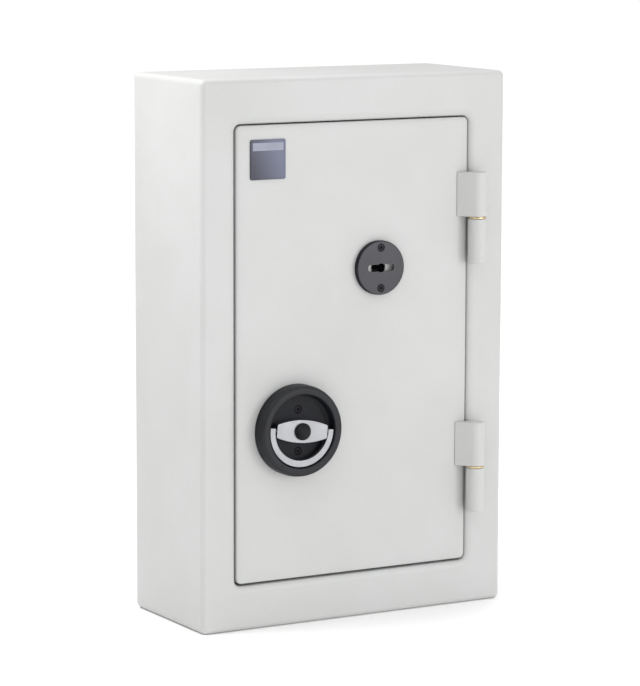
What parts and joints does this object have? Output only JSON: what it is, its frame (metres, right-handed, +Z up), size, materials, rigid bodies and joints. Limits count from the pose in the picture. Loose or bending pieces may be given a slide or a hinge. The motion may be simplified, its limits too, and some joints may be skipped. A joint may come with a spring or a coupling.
{
  "type": "wall safe",
  "caption": "Tall shallow steel safe: flush door on external barrel hinges, turning dish handle with folding bail, sliding round bolts and a double-bit key lock; hook rails inside.",
  "frame": {"origin": "middle of the underside of the body, halfway across its width and its depth", "axes": "+Z up; front of the safe faces -Y; +X to the right seen from the front, the hinge side; the back that goes against the wall faces +Y"},
  "size_m": [0.35, 0.1641, 0.55],
  "materials": {
    "paint": "fine textured powder coat, light grey, semi-gloss",
    "black_plastic": "black moulded plastic, satin",
    "dark_plate": "dark grey coated metal",
    "satin_silver": "satin silver metal",
    "brass": "plain brass",
    "zinc": "zinc-plated steel",
    "hard_steel": "hardened dark steel",
    "badge": "plain dark blue-grey plate, no wording"
  },
  "bodies": {
    "body": {"body_shell": "paint", "back_panel": "paint", "strike_plate": "paint", "hinge_frame_knuckle_lower": "paint", "hinge_washer_lower": "brass", "hinge_pin_lower": "zinc", "hinge_frame_knuckle_upper": "paint", "hinge_washer_upper": "brass", "hinge_pin_upper": "zinc", "rail_upright_left": "paint", "rail_upright_right": "paint", "hook_rail_1": "zinc", "hook_rail_2": "zinc", "hook_rail_3": "zinc", "hook_rail_4": "zinc"},
    "door": {"door_panel": "paint", "hinge_door_knuckle_lower": "paint", "hinge_door_knuckle_upper": "paint", "badge": "badge", "escutcheon": "dark_plate", "escutcheon_screw_top": "zinc", "escutcheon_screw_bottom": "zinc", "handle_dish": "black_plastic", "dish_screw_upper": "zinc", "dish_screw_lower": "zinc", "spindle_bush": "brass", "hard_plate": "hard_steel", "lock_case": "zinc", "lock_cap": "zinc", "lock_screw_1": "hard_steel", "lock_screw_2": "hard_steel", "bolt_guide_1": "zinc", "bolt_guide_2": "zinc", "bolt_guide_3": "zinc", "fixed_dog_1": "zinc", "fixed_dog_2": "zinc", "fixed_dog_3": "zinc", "guide_stud_1": "zinc", "guide_stud_2": "zinc", "inner_cover": "paint", "cover_screw_1": "zinc", "cover_screw_2": "zinc", "cover_screw_3": "zinc", "cover_screw_4": "zinc", "cover_screw_5": "zinc", "cover_screw_6": "zinc"},
    "handle": {"handle_hub": "satin_silver", "hub_cap": "black_plastic", "handle_spindle": "zinc", "spindle_clip": "hard_steel", "spindle_cam": "zinc", "bail_pin_left": "zinc", "bail_pin_right": "zinc"},
    "bail": {"bail": "satin_silver"},
    "boltwork": {"bolt_carriage": "zinc", "bolt_1": "satin_silver", "bolt_2": "satin_silver", "bolt_3": "satin_silver"},
    "lock_rotor": {"lock_rotor": "brass"},
    "lock_bolt": {"lock_bolt": "brass"}
  },
  "joints": [
    {"name": "door_hinge", "type": "hinge", "parent": "body", "child": "door", "pos_m": [0.1371, -0.0822, 0.275], "axis": [0, 0, 1], "range_deg": [0, 180]},
    {"name": "handle_turn", "type": "hinge", "parent": "door", "child": "handle", "pos_m": [-0.07, -0.0725, 0.1988], "axis": [0, 1, 0], "range_deg": [0, 90]},
    {"name": "bail_lift", "type": "hinge", "parent": "handle", "child": "bail", "pos_m": [-0.07, -0.0835, 0.1988], "axis": [-0.9957, 0, 0.0924], "range_deg": [0, 90]},
    {"name": "bolt_throw", "type": "slide", "parent": "door", "child": "boltwork", "axis": [-1, 0, 0], "range_m": [0, 0.01273]},
    {"name": "key_turn", "type": "hinge", "parent": "door", "child": "lock_rotor", "pos_m": [0.0252, -0.05, 0.3562], "axis": [0, 1, 0], "range_deg": [0, 180]},
    {"name": "lock_throw", "type": "slide", "parent": "door", "child": "lock_bolt", "axis": [-1, 0, 0], "range_m": [0, 0.009]}
  ],
  "couplings": [
    {"joint": "bolt_throw", "follows": "handle_turn", "m_per_rad": 0.0081028},
    {"joint": "key_turn", "follows": "lock_throw", "rad_per_m": 349.06}
  ]
}
